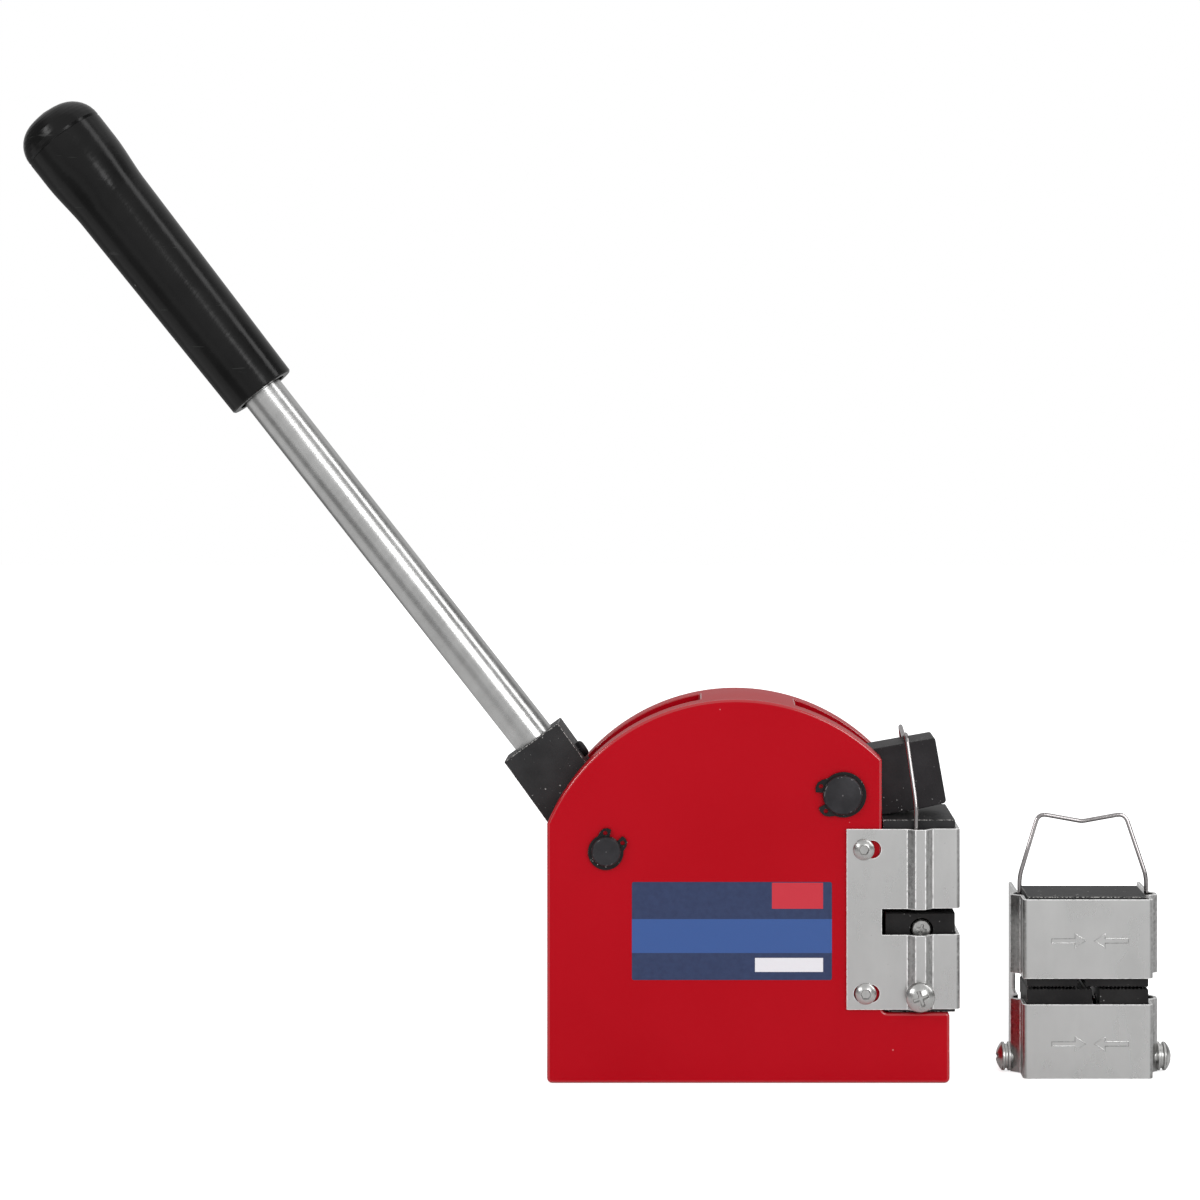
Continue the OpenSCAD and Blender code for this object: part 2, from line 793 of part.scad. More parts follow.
module spring_washer_group(set) {
    gap_w = 1;
    color("silver") clamp_ends(set) translate([0, 0, washer_t]) difference() {
        cylinder(r = split_washer_r, h = split_washer_t);
        translate([0, 0, -1]) cylinder(r = clamp_r + 0.1, h = split_washer_t + 2);
        rotate(100) translate([0, -gap_w / 2, -1])
            cube([split_washer_r + 1, gap_w, split_washer_t + 2]);
    }
}

// Tie screw: head in the left jaw's pocket, end in the right jaw
module tie_screw() {
    head = -stretch_out + tie_sunk;
    color("silver") translate([head, tie_y, -tie_down]) rotate([0, 90, 0]) difference() {
        union() {
            cylinder(r1 = tie_head_r - 0.5, r2 = tie_head_r, h = 0.5);
            translate([0, 0, 0.5]) cylinder(r = tie_head_r, h = tie_head_h - 0.5);
            translate([0, 0, tie_head_h]) cylinder(r = tie_r, h = tie_end - head - tie_head_h);
        }
        for (turn = [15, 105]) rotate(turn) translate([-2, -0.5, -1]) cube([4, 1, 2]);
    }
}

// Spring along x between x0 and x1, the given depth under the toothed face
module jaw_spring(x0, x1, r, wire_r, turns, down) {
    color("silver") translate([0, tie_y, -down]) rotate([0, 90, 0])
        wire(winding(r, x0 + wire_r, x1 - wire_r, turns), wire_r, [1, 0, 0]);
}

module tie_spring() {
    jaw_spring(-stretch_out + tie_sunk + tie_head_h, -stretch_out + pocket_l, tie_spring_r,
        tie_wire_r, 4, tie_down);
}

module push_spring(split) {
    reach = open_gap + push_pocket_l;
    jaw_spring(split - reach, split + reach, push_spring_r, push_wire_r, 9, push_down);
}

// ---------- Nodes ----------

module cage() { color("lightgray") on_body() cage_body(stretch_set); }
module cage_screws() { color("silver") cage_screw_group(); }
module clamp_screws() { on_body() clamp_screw_group(stretch_set); }
module clamp_washers() { on_body() clamp_washer_group(stretch_set); }
module spring_washers() { on_body() spring_washer_group(stretch_set); }
module lower_block() { on_body() lower_block_body(stretch_set, true); }
module upper_block() { on_body() upper_block_body(stretch_set, true); }
module bail() { on_body() bail_body(stretch_set); }
module upper_jaw_left() { on_body() upper(stretch_set) stretch_jaw(-1, upper_split); }
module upper_jaw_right() { on_body() upper(stretch_set) stretch_jaw(1, upper_split); }
module lower_jaw_left() { on_body() lower(stretch_set) stretch_jaw(-1, lower_split); }
module lower_jaw_right() { on_body() lower(stretch_set) stretch_jaw(1, lower_split); }
module upper_tie_screw() { on_body() upper(stretch_set) tie_screw(); }
module lower_tie_screw() { on_body() lower(stretch_set) tie_screw(); }
module upper_tie_spring() { on_body() upper(stretch_set) tie_spring(); }
module lower_tie_spring() { on_body() lower(stretch_set) tie_spring(); }

module spare_cage() { color("lightgray") on_floor() cage_body(shrink_set); }
module spare_clamp_screws() { on_floor() clamp_screw_group(shrink_set); }
module spare_clamp_washers() { on_floor() clamp_washer_group(shrink_set); }
module spare_spring_washers() { on_floor() spring_washer_group(shrink_set); }
module spare_lower_block() { on_floor() lower_block_body(shrink_set, false); }
module spare_upper_block() { on_floor() upper_block_body(shrink_set, false); }
module spare_bail() { on_floor() bail_body(shrink_set); }
module spare_upper_jaw_left() { on_floor() upper(shrink_set) shrink_jaw(-1, upper_split); }
module spare_upper_jaw_right() { on_floor() upper(shrink_set) shrink_jaw(1, upper_split); }
module spare_lower_jaw_left() { on_floor() lower(shrink_set) shrink_jaw(-1, lower_split); }
module spare_lower_jaw_right() { on_floor() lower(shrink_set) shrink_jaw(1, lower_split); }
module spare_upper_spring() { on_floor() upper(shrink_set) push_spring(upper_split); }
module spare_lower_spring() { on_floor() lower(shrink_set) push_spring(lower_split); }

frame();
lever_pin();
lever_circlips();
rocker_pin();
rocker_circlips();
lever_block();
handle_screw();
handle_tube();
handle_grip();
rocker_arm();
return_spring();
spring_pin();
spring_eye();
cage();
cage_screws();
clamp_screws();
clamp_washers();
spring_washers();
lower_block();
upper_block();
bail();
upper_jaw_left();
upper_jaw_right();
lower_jaw_left();
lower_jaw_right();
upper_tie_screw();
lower_tie_screw();
upper_tie_spring();
lower_tie_spring();
spare_cage();
spare_clamp_screws();
spare_clamp_washers();
spare_spring_washers();
spare_lower_block();
spare_upper_block();
spare_bail();
spare_upper_jaw_left();
spare_upper_jaw_right();
spare_lower_jaw_left();
spare_lower_jaw_right();
spare_upper_spring();
spare_lower_spring();
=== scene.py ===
"""Looks of the hand-lever shrinker stretcher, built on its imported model.

Sizes are in metres in the model's own frame: X from the lever to the jaws, Z up, and the
foot's middle at the origin. The near side face of the body is at -Y.
"""

import json
import math

import bpy
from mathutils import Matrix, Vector

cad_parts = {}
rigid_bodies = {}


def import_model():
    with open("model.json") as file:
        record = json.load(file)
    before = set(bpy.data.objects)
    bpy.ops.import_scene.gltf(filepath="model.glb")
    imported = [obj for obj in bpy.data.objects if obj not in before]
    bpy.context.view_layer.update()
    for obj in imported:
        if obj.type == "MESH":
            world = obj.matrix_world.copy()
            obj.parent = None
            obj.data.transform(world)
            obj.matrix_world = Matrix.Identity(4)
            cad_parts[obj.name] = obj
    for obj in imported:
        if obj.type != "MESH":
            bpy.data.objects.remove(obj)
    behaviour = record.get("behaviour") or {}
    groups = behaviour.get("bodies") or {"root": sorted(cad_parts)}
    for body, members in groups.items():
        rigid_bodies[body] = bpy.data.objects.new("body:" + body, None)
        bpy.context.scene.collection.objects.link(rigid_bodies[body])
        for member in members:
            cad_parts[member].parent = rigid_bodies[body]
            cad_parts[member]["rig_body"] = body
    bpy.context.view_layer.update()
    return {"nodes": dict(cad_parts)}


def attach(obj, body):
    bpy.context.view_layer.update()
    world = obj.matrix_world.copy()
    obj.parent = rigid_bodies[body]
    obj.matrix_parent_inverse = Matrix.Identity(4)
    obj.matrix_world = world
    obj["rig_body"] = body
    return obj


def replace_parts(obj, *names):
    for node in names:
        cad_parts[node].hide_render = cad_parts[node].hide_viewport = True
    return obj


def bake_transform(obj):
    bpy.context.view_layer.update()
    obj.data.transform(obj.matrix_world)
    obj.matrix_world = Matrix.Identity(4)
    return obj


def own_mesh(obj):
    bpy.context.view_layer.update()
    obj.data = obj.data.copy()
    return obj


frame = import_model()
nodes = frame["nodes"]


# ---------- Places taken from the model ----------

SIDE_Y = -0.0265
LEVER_PIN, LEVER_PIN_R = Vector((-0.0578, 0, 0.0946)), 0.006
ROCKER_PIN, ROCKER_PIN_R = Vector((0.0383, 0, 0.1175)), 0.008
PLATE_X = 0.0862
SPARE_PLATE_Y = -0.0185
SPARE_X = 0.1394
CAGE_HOLES = ((0.0469, 0.0954), (0.0477, 0.0368))
TUBE_LEAN = math.radians(51.9)
TUBE_TURN = -(math.pi / 2 - TUBE_LEAN)


# ---------- Working on pieces ----------

MERGE_WITHIN = 0.000002
FLAT_WITHIN = math.radians(0.5)
SHARP_ABOVE = math.radians(28)
SMOOTH_BELOW = math.radians(35)
ROUND_SMOOTH_BELOW = math.radians(50)


def only(piece):
    """Selects that piece alone and makes it the active one."""
    bpy.ops.object.select_all(action="DESELECT")
    piece.select_set(True)
    bpy.context.view_layer.objects.active = piece
    return piece


def apply_place(piece):
    """Moves a piece's place, turn and scale into its mesh."""
    only(piece)
    bpy.ops.object.transform_apply(location=True, rotation=True, scale=True)
    return piece


def apply_modifier(piece, kind, **settings):
    """Adds a modifier with those settings and applies it."""
    only(piece)
    modifier = piece.modifiers.new(kind.title(), kind)
    for name, value in settings.items():
        setattr(modifier, name, value)
    bpy.ops.object.modifier_apply(modifier=modifier.name)


def mark_edge_faces(piece):
    """Keeps, as a face attribute, which faces a bevel made on the edges of a piece."""
    mesh = piece.data
    made = [float(face.material_index > 0) for face in mesh.polygons]
    mesh.attributes.new("edge", "FLOAT", "FACE").data.foreach_set("value", made)
    for face in mesh.polygons:
        face.material_index = 0


def round_edges(piece, width, segments=2, weigh=None):
    """Rounds the sharp edges by width. weigh gives each edge, by its middle, a share of it."""
    mesh = piece.data
    only(piece)
    settings = {"limit_method": "ANGLE", "angle_limit": SHARP_ABOVE}
    if weigh:
        bpy.ops.object.mode_set(mode="EDIT")
        bpy.ops.mesh.select_mode(type="EDGE")
        bpy.ops.mesh.select_all(action="DESELECT")
        bpy.ops.mesh.edges_select_sharp(sharpness=SHARP_ABOVE)
        bpy.ops.object.mode_set(mode="OBJECT")
        share = mesh.attributes.new("bevel_weight_edge", "FLOAT", "EDGE")
        for edge in mesh.edges:
            start, end = (mesh.vertices[corner].co for corner in edge.vertices)
            share.data[edge.index].value = weigh((start + end) / 2) if edge.select else 0.0
        settings = {"limit_method": "WEIGHT"}
    apply_modifier(piece, "BEVEL", width=width, segments=segments, material=1,
                   miter_outer="MITER_ARC", use_clamp_overlap=False, loop_slide=False, **settings)


def finish_mesh(piece, material, smooth=SMOOTH_BELOW):
    """Gives a piece its material and smooth round faces."""
    only(piece)
    piece.data.materials.clear()
    piece.data.materials.append(material)
    bpy.ops.object.shade_smooth_by_angle(angle=smooth)
    return piece


def merged_copy(node):
    """A copy of a CAD node, shown in its place, with its loose triangles merged."""
    source = nodes[node]
    piece = bpy.data.objects.new(node + "_finished", source.data.copy())
    bpy.context.scene.collection.objects.link(piece)
    only(piece)
    bpy.ops.mesh.customdata_custom_splitnormals_clear()
    bpy.ops.object.mode_set(mode="EDIT")
    bpy.ops.mesh.select_all(action="SELECT")
    bpy.ops.mesh.remove_doubles(threshold=MERGE_WITHIN)
    bpy.ops.mesh.dissolve_limited(angle_limit=FLAT_WITHIN)
    bpy.ops.object.mode_set(mode="OBJECT")
    piece.data.materials.clear()
    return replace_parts(piece, node)


def dressed(node, material, slot, width, **rounding):
    """A CAD node with rounded edges."""
    piece = merged_copy(node)
    for name in ("face", "edge"):
        piece.data.materials.append(bpy.data.materials.get(name) or bpy.data.materials.new(name))
    round_edges(piece, width, **rounding)
    mark_edge_faces(piece)
    finish_mesh(piece, material)
    apply_modifier(piece, "WEIGHTED_NORMAL", weight=100, keep_sharp=True)
    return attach(piece, nodes[node]["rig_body"])


# ---------- Shader nodes and groups ----------

CLOUD_LOW, CLOUD_HIGH = 0.3, 0.7
SQUARE_FACING, BENT_FACING = 0.995, 0.93
RAREST_SCUFF, SCUFF_FADE = 0.74, 0.04
RAREST_WEAR, WEAR_FADE = 0.72, 0.03


def add(tree, kind, inputs=None, **settings):
    """A node of that kind. Each input is a value, or an output to join it to."""
    node = tree.nodes.new("ShaderNode" + kind)
    for name, value in settings.items():
        setattr(node, name, value)
    for name, value in (inputs or {}).items():
        if isinstance(value, bpy.types.NodeSocket):
            tree.links.new(value, node.inputs[name])
        else:
            node.inputs[name].default_value = value
    return node


def maths(tree, operation, first, second=0.0):
    """The output of a Math node."""
    return add(tree, "Math", {0: first, 1: second}, operation=operation).outputs[0]


def spread(tree, value, low, high, to_low=0.0, to_high=1.0):
    """A value's range from low to high mapped onto another range."""
    return add(tree, "MapRange", {"Value": value, "From Min": low, "From Max": high,
                                  "To Min": to_low, "To Max": to_high}).outputs["Result"]


def mixed(tree, share, first, second):
    """Two colours mixed by a share."""
    mix = add(tree, "Mix", {"Factor": share}, data_type="RGBA")
    for socket, value in ((mix.inputs[6], first), (mix.inputs[7], second)):
        if isinstance(value, bpy.types.NodeSocket):
            tree.links.new(value, socket)
        else:
            socket.default_value = value
    return mix.outputs[2]


def place(tree):
    """Where a point lies on the object, in metres."""
    return add(tree, "TexCoord").outputs["Object"]


def edge_faces(tree):
    """1 on the faces that a bevel made, and 0 elsewhere."""
    return add(tree, "Attribute", attribute_name="edge").outputs["Fac"]


def bent_share(tree):
    """How far a face is from facing squarely along X, Y or Z: 0 on flats, 1 on bends."""
    facing = add(tree, "SeparateXYZ", {"Vector": add(tree, "NewGeometry").outputs["Normal"]})
    most = 0.0
    for axis in "XYZ":
        most = maths(tree, "MAXIMUM", most, maths(tree, "ABSOLUTE", facing.outputs[axis]))
    return spread(tree, most, SQUARE_FACING, BENT_FACING)


def new_group(name, takes, gives):
    """An empty shader group with named number inputs and outputs."""
    group = bpy.data.node_groups.new(name, "ShaderNodeTree")
    for label, value in takes.items():
        socket = group.interface.new_socket(name=label, in_out="INPUT",
                                            socket_type="NodeSocketFloat")
        socket.default_value = value
    for label in gives:
        group.interface.new_socket(name=label, in_out="OUTPUT", socket_type="NodeSocketFloat")
    return group, group.nodes.new("NodeGroupInput").outputs, group.nodes.new("NodeGroupOutput")


def mottle_group():
    """Cloudy change of tone, coarse and fine."""
    group, takes, gives = new_group("Mottle", {"Scale": 30.0, "Detail": 4.0}, ["Cloud"])
    noise = add(group, "TexNoise", {"Vector": place(group), "Scale": takes["Scale"],
                                    "Detail": takes["Detail"], "Roughness": 0.6})
    cloud = spread(group, noise.outputs["Fac"], CLOUD_LOW, CLOUD_HIGH)
    group.links.new(cloud, gives.inputs["Cloud"])
    return group


def speck_group():
    """Scattered round specks: dust, pits or paint nibs."""
    group, takes, gives = new_group("Specks", {"Scale": 200.0, "Size": 0.1, "Share": 0.05},
                                    ["Mask"])
    cells = add(group, "TexVoronoi", {"Vector": place(group), "Scale": takes["Scale"]})
    tone = add(group, "SeparateColor", {"Color": cells.outputs["Color"]})
    chosen = maths(group, "LESS_THAN", tone.outputs[0], takes["Share"])
    size = maths(group, "MULTIPLY", takes["Size"], tone.outputs[1])
    dot = maths(group, "LESS_THAN", cells.outputs["Distance"], size)
    group.links.new(maths(group, "MULTIPLY", chosen, dot), gives.inputs["Mask"])
    return group


def scuff_group():
    """Short thin scuffs in two directions."""
    group, takes, gives = new_group("Scuffs", {"Scale": 60.0, "Share": 0.1}, ["Mask"])
    marks = []
    for turn, stretch in ((0.6, 9.0), (-0.9, 14.0)):
        mapped = add(group, "Mapping", {"Vector": place(group), "Rotation": (0.3, turn, 0.2),
                                        "Scale": (1.0, 1.0, stretch)})
        noise = add(group, "TexNoise", {"Vector": mapped.outputs[0], "Scale": takes["Scale"],
                                        "Detail": 3.0})
        marks.append(noise.outputs["Fac"])
    high = maths(group, "SUBTRACT", RAREST_SCUFF, maths(group, "MULTIPLY", takes["Share"], 0.5))
    both = maths(group, "MAXIMUM", marks[0], marks[1])
    over = maths(group, "SUBTRACT", both, high)
    group.links.new(spread(group, over, 0.0, SCUFF_FADE), gives.inputs["Mask"])
    return group


def wear_group():
    """Worn patches along the rounded edges of a piece."""
    group, takes, gives = new_group("Edge wear", {"Scale": 150.0, "Amount": 0.5}, ["Mask"])
    edge = edge_faces(group)
    noise = add(group, "TexNoise", {"Vector": place(group), "Scale": takes["Scale"],
                                    "Detail": 3.0, "Roughness": 0.7})
    low = maths(group, "SUBTRACT", RAREST_WEAR, maths(group, "MULTIPLY", takes["Amount"], 0.25))
    over = maths(group, "SUBTRACT", noise.outputs["Fac"], low)
    patch = spread(group, over, 0.0, WEAR_FADE)
    group.links.new(maths(group, "MULTIPLY", patch, edge), gives.inputs["Mask"])
    return group


def grain_group():
    """Fine streaks drawn out along Z, or along the lever's tube when turned about Y."""
    group, takes, gives = new_group("Drawn grain", {"Turn": 0.0, "Scale": 400.0,
                                                    "Stretch": 0.05}, ["Streak"])
    turn = add(group, "CombineXYZ", {"Y": takes["Turn"]})
    thin = add(group, "CombineXYZ", {"X": 1.0, "Y": 1.0, "Z": takes["Stretch"]})
    turned = add(group, "Mapping", {"Vector": place(group), "Rotation": turn.outputs[0]})
    mapped = add(group, "Mapping", {"Vector": turned.outputs[0], "Scale": thin.outputs[0]})
    noise = add(group, "TexNoise", {"Vector": mapped.outputs[0], "Scale": takes["Scale"],
                                    "Detail": 4.0, "Roughness": 0.65})
    streak = spread(group, noise.outputs["Fac"], CLOUD_LOW, CLOUD_HIGH)
    group.links.new(streak, gives.inputs["Streak"])
    return group


MOTTLE, SPECKS, SCUFFS = mottle_group(), speck_group(), scuff_group()
WEAR, GRAIN = wear_group(), grain_group()


def effect(tree, group, **values):
    """One of the groups above, placed with its own values; gives its only output."""
    node = tree.nodes.new("ShaderNodeGroup")
    node.node_tree = group
    for name, value in values.items():
        node.inputs[name].default_value = value
    return node.outputs[0]


def rgb(r, g, b):
    """A colour given as it is seen on screen, 0 to 255, as the shader's linear colour."""
    def linear(c):
        c = c / 255
        return c / 12.92 if c <= 0.04045 else ((c + 0.055) / 1.055) ** 2.4
    return (linear(r), linear(g), linear(b), 1.0)


# ---------- Colours ----------

ENAMEL_DEEP, ENAMEL_BRIGHT = rgb(175, 3, 21), rgb(181, 6, 25)
ENAMEL_DUST, ENAMEL_WORN = rgb(226, 150, 150), rgb(225, 120, 120)
OXIDE_SPECK, OXIDE_WORN = rgb(190, 190, 188), rgb(190, 188, 185)
PIN_DARK, PIN_LIGHT = rgb(46, 45, 48), rgb(66, 65, 68)
# The pins' centre colour is a painted highlight.
PIN_CENTRE_HIGHLIGHT, PIN_WORN = rgb(120, 118, 120), rgb(150, 148, 148)
STEEL_PIT = rgb(120, 118, 115)
# Zinc edges, partly bright cut metal and partly painted highlight; painted shade for the sheet's
# bends and round the screws' recesses
CUT_ZINC_AND_HIGHLIGHT, BENT_ZINC_SHADE, RECESS_SHADE = rgb(252, 252, 251), rgb(150, 150, 149), rgb(105, 103, 101)
PLASTIC_DARK, PLASTIC_LIGHT = rgb(12, 12, 12), rgb(20, 20, 20)
PLASTIC_SCUFF, PLASTIC_DUST = rgb(80, 80, 80), rgb(130, 130, 130)
LABEL_DARK, LABEL_LIGHT = rgb(28, 46, 88), rgb(35, 55, 98)
LABEL_BLUE, LABEL_RED, LABEL_WHITE = rgb(44, 84, 152), rgb(203, 28, 50), rgb(232, 231, 236)


# ---------- Materials ----------

def new_material(name, metallic=0.0, coat=0.0, coat_roughness=0.1, coat_ior=1.5, ior=1.5):
    """A material with the values that are the same all over it."""
    material = bpy.data.materials.new(name)
    material.use_nodes = True
    tree = material.node_tree
    shader = tree.nodes["Principled BSDF"]
    shader.inputs["Metallic"].default_value = metallic
    shader.inputs["Coat Weight"].default_value = coat
    shader.inputs["Coat Roughness"].default_value = coat_roughness
    shader.inputs["Coat IOR"].default_value = coat_ior
    shader.inputs["IOR"].default_value = ior
    return material, tree, shader


def bump(tree, shader, height, strength, distance):
    """Small relief from a height value."""
    node = add(tree, "Bump", {"Height": height, "Strength": strength, "Distance": distance})
    tree.links.new(node.outputs[0], shader.inputs["Normal"])


def join(tree, shader, colour, roughness=None):
    """Joins a changing colour, and a changing roughness if there is one, to the shader."""
    tree.links.new(colour, shader.inputs["Base Color"])
    if roughness is not None:
        tree.links.new(roughness, shader.inputs["Roughness"])


def red_paint():
    """Thick glossy enamel with orange peel, a little dust and paler worn edges.

    The coat is heavy on the rounded edges and thin on the flats, which look duller.
    """
    material, tree, shader = new_material("Red enamel", coat_roughness=0.08, coat_ior=1.9,
                                          ior=1.15)
    cloud = effect(tree, MOTTLE, Scale=14.0, Detail=2.0)
    dust = effect(tree, SPECKS, Scale=170.0, Size=0.12, Share=0.05)
    edge = edge_faces(tree)
    worn = effect(tree, WEAR, Scale=260.0, Amount=0.15)
    colour = mixed(tree, cloud, ENAMEL_DEEP, ENAMEL_BRIGHT)
    colour = mixed(tree, maths(tree, "MULTIPLY", dust, 0.55), colour, ENAMEL_DUST)
    colour = mixed(tree, maths(tree, "MULTIPLY", worn, 0.5), colour, ENAMEL_WORN)
    peel = effect(tree, MOTTLE, Scale=420.0, Detail=2.0)
    beads = maths(tree, "MULTIPLY", edge, effect(tree, MOTTLE, Scale=210.0, Detail=3.0))
    join(tree, shader, colour, spread(tree, cloud, 0, 1, 0.3, 0.36))
    tree.links.new(spread(tree, edge, 0, 1, 0.04, 1.0), shader.inputs["Coat Weight"])
    relief = maths(tree, "ADD", maths(tree, "MULTIPLY", peel, 0.12), beads)
    bump(tree, shader, relief, strength=0.2, distance=0.00025)
    return material


def black_oxide(name, dark, light, roughness, wear):
    """Blackened steel with a cloudy tone, pale specks and worn edges."""
    material, tree, shader = new_material(name, metallic=0.2, ior=1.3)
    cloud = effect(tree, MOTTLE, Scale=55.0, Detail=5.0)
    specks = effect(tree, SPECKS, Scale=1500.0, Size=0.6, Share=0.05)
    clusters = spread(tree, effect(tree, MOTTLE, Scale=120.0, Detail=3.0), 0.5, 0.9)
    worn = effect(tree, WEAR, Scale=1300.0, Amount=wear)
    colour = mixed(tree, cloud, dark, light)
    colour = mixed(tree, maths(tree, "MULTIPLY", specks, clusters), colour, OXIDE_SPECK)
    colour = mixed(tree, maths(tree, "MULTIPLY", worn, 0.8), colour, OXIDE_WORN)
    join(tree, shader, colour, spread(tree, cloud, 0, 1, roughness, roughness + 0.12))
    bump(tree, shader, effect(tree, MOTTLE, Scale=900.0, Detail=4.0), strength=0.25,
         distance=0.0001)
    return material


RING_PITCH = 0.00035


def pin_steel(name, centre, radius):
    """Blackened pin steel with the rings that turning leaves round the pin's axis, and a painted
    highlight dot at the middle of its end.
    """
    material, tree, shader = new_material(name, metallic=0.6)
    moved = add(tree, "Mapping", {"Vector": place(tree), "Location": tuple(-centre)})
    flat = add(tree, "SeparateXYZ", {"Vector": moved.outputs[0]})
    square = maths(tree, "ADD", maths(tree, "MULTIPLY", flat.outputs["X"], flat.outputs["X"]),
                   maths(tree, "MULTIPLY", flat.outputs["Z"], flat.outputs["Z"]))
    out = maths(tree, "SQRT", square)
    rings = maths(tree, "SINE", maths(tree, "MULTIPLY", out, math.tau / RING_PITCH))
    # Painted highlight: a light dot at the middle of the pin's end face.
    dot = spread(tree, out, radius * 0.05, radius * 0.02)
    cloud = effect(tree, MOTTLE, Scale=90.0, Detail=4.0)
    colour = mixed(tree, cloud, PIN_DARK, PIN_LIGHT)
    colour = mixed(tree, dot, colour, PIN_CENTRE_HIGHLIGHT)
    worn = effect(tree, WEAR, Scale=300.0, Amount=0.7)
    colour = mixed(tree, maths(tree, "MULTIPLY", worn, 0.7), colour, PIN_WORN)
    join(tree, shader, colour, spread(tree, cloud, 0, 1, 0.32, 0.42))
    bump(tree, shader, rings, strength=0.25, distance=0.00004)
    return material


def bright_steel(name, dark, light, roughness, grain_turn=0.0, grain_scale=400.0,
                 stretch=0.05, relief=0.1, edge_nicks_and_shading=None, bend_shade=None):
    """Plated or drawn bright steel with streaks along the metal and fine pits.

    The edge colour is nicked cut edges with painted highlight lines on the sheet, and painted
    shade round the recesses on screws; the bend colour is painted shade on slanted faces.
    """
    material, tree, shader = new_material(name, metallic=1.0)
    streak = effect(tree, GRAIN, Turn=grain_turn, Scale=grain_scale, Stretch=stretch)
    pits = effect(tree, MOTTLE, Scale=1200.0, Detail=3.0)
    cloud = effect(tree, MOTTLE, Scale=35.0, Detail=3.0)
    tone = maths(tree, "MULTIPLY", maths(tree, "ADD", streak, cloud), 0.5)
    colour = mixed(tree, tone, dark, light)
    specks = effect(tree, SPECKS, Scale=900.0, Size=0.3, Share=0.03)
    colour = mixed(tree, maths(tree, "MULTIPLY", specks, 0.12), colour, STEEL_PIT)
    # Painted shade: faces that slant away from X, Y and Z, as on the bends, get a darker colour
    # in streaky patches.
    if bend_shade:
        bend_streaks = maths(tree, "MULTIPLY", effect(tree, GRAIN, Scale=700.0, Stretch=0.03),
                         effect(tree, MOTTLE, Scale=600.0, Detail=3.0))
        patchy = spread(tree, bend_streaks, 0, 0.7, 0.35, 1)
        share = maths(tree, "MULTIPLY", bent_share(tree), patchy)
        colour = mixed(tree, share, colour, bend_shade)
    # Bevelled edges take the edge colour in patches and lose their metal sheen: on the sheet,
    # nicked cut edges with painted highlight lines; on screws, painted shade round the recesses.
    if edge_nicks_and_shading:
        edge = edge_faces(tree)
        edge_patches = spread(tree, effect(tree, MOTTLE, Scale=500.0, Detail=3.0), 0, 0.6, 0.25, 1)
        edge_marks = maths(tree, "MULTIPLY", edge, edge_patches)
        colour = mixed(tree, edge_marks, colour, edge_nicks_and_shading)
        tree.links.new(spread(tree, edge_marks, 0, 1, 1.0, 0.2), shader.inputs["Metallic"])
    join(tree, shader, colour, spread(tree, tone, 0, 1, roughness, roughness + 0.1))
    height = maths(tree, "ADD", pits, maths(tree, "MULTIPLY", streak, 0.6))
    bump(tree, shader, height, strength=relief, distance=0.00005)
    return material


def black_moulding():
    """Glossy black plastic, faintly rippled, with dull rubbed patches and thin scuffs."""
    material, tree, shader = new_material("Black moulding", ior=1.36)
    rubbed = effect(tree, MOTTLE, Scale=45.0, Detail=5.0)
    scuffs = effect(tree, SCUFFS, Scale=45.0, Share=0.08)
    specks = effect(tree, SPECKS, Scale=150.0, Size=0.1, Share=0.04)
    colour = mixed(tree, rubbed, PLASTIC_DARK, PLASTIC_LIGHT)
    colour = mixed(tree, maths(tree, "MULTIPLY", scuffs, 0.2), colour, PLASTIC_SCUFF)
    colour = mixed(tree, maths(tree, "MULTIPLY", specks, 0.5), colour, PLASTIC_DUST)
    rough = maths(tree, "ADD", spread(tree, rubbed, 0, 1, 0.16, 0.25),
                  maths(tree, "MULTIPLY", scuffs, 0.15))
    join(tree, shader, colour, rough)
    ripple = effect(tree, GRAIN, Turn=TUBE_TURN, Scale=120.0, Stretch=0.1)
    height = maths(tree, "ADD", ripple, maths(tree, "MULTIPLY", rubbed, 0.4))
    bump(tree, shader, height, strength=0.2, distance=0.0003)
    return material


# Lowest X, highest X, lowest Z and highest Z of the sticker and of its printed fields
LABEL = (-0.0474, 0.0340, 0.0421, 0.0820)
LABEL_BAND = (-0.0474, 0.0340, 0.0531, 0.0669)
LABEL_CORNER = (0.0096, 0.0304, 0.0711, 0.0817)
LABEL_FIELD = (0.0027, 0.0304, 0.0454, 0.0511)


def printed_label():
    """A plain sticker: dark blue with a lighter band, a red corner and a blank white field."""
    material, tree, shader = new_material("Printed label", coat=0.3, coat_roughness=0.2)
    spot = add(tree, "SeparateXYZ", {"Vector": place(tree)})

    def inside(low_x, high_x, low_z, high_z):
        """1 inside a rectangle of the side face, and 0 elsewhere."""
        across = maths(tree, "COMPARE", spot.outputs["X"], (low_x + high_x) / 2)
        up = maths(tree, "COMPARE", spot.outputs["Z"], (low_z + high_z) / 2)
        across.node.inputs[2].default_value = (high_x - low_x) / 2
        up.node.inputs[2].default_value = (high_z - low_z) / 2
        return maths(tree, "MULTIPLY", across, up)

    grain = effect(tree, MOTTLE, Scale=500.0, Detail=3.0)
    colour = mixed(tree, grain, LABEL_DARK, LABEL_LIGHT)
    colour = mixed(tree, inside(*LABEL_BAND), colour, LABEL_BLUE)
    colour = mixed(tree, inside(*LABEL_CORNER), colour, LABEL_RED)
    colour = mixed(tree, inside(*LABEL_FIELD), colour, LABEL_WHITE)
    join(tree, shader, colour, spread(tree, grain, 0, 1, 0.38, 0.46))
    bump(tree, shader, grain, strength=0.08, distance=0.00005)
    return material


